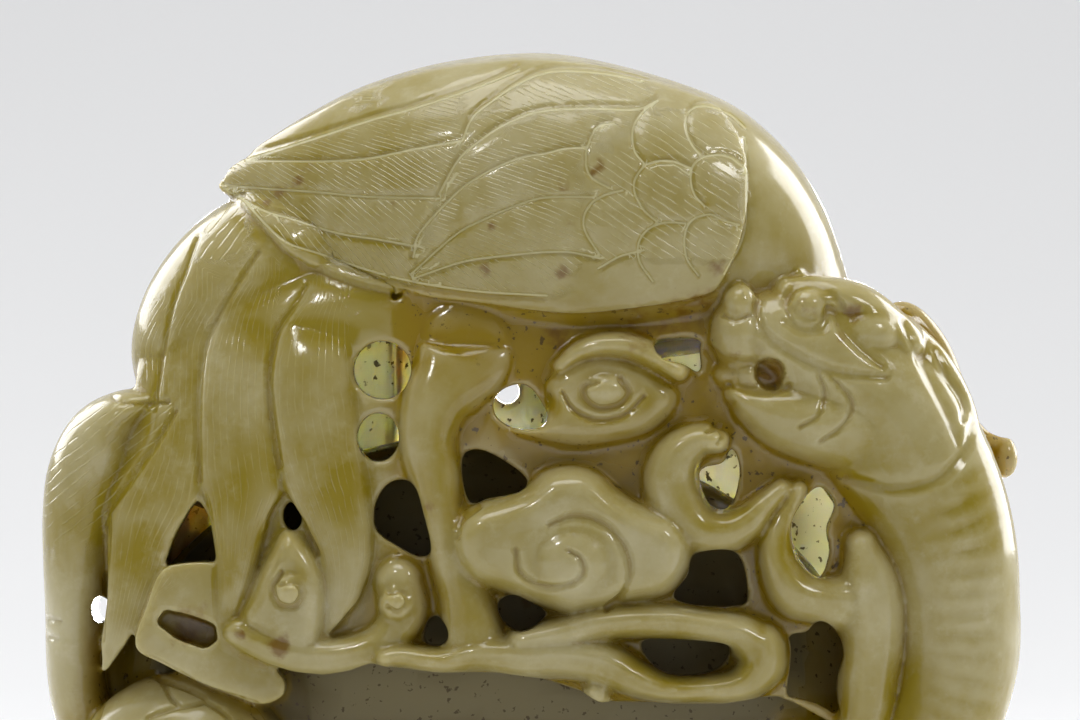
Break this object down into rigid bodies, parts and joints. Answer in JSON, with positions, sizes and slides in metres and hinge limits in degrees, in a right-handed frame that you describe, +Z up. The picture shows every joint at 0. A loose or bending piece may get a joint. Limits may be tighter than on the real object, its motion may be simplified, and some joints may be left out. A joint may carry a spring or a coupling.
{
  "type": "jade carving",
  "caption": "Openwork jade pebble carving of a long-tailed bird with a dragon-headed tortoise among pierced clouds, which stands on its flat underside.",
  "frame": {"origin": "the centre of the underside's bounding box, on the surface that the carving stands on", "axes": "+X runs to the right as the carved front is seen, with the bird's breast and the beast's neck on that side; the front faces -Y; +Z is up"},
  "size_m": [0.1496, 0.0675, 0.1183],
  "materials": {
    "jade": "polished"
  },
  "bodies": {
    "root": {"jade_carving": "jade"}
  },
  "joints": []
}
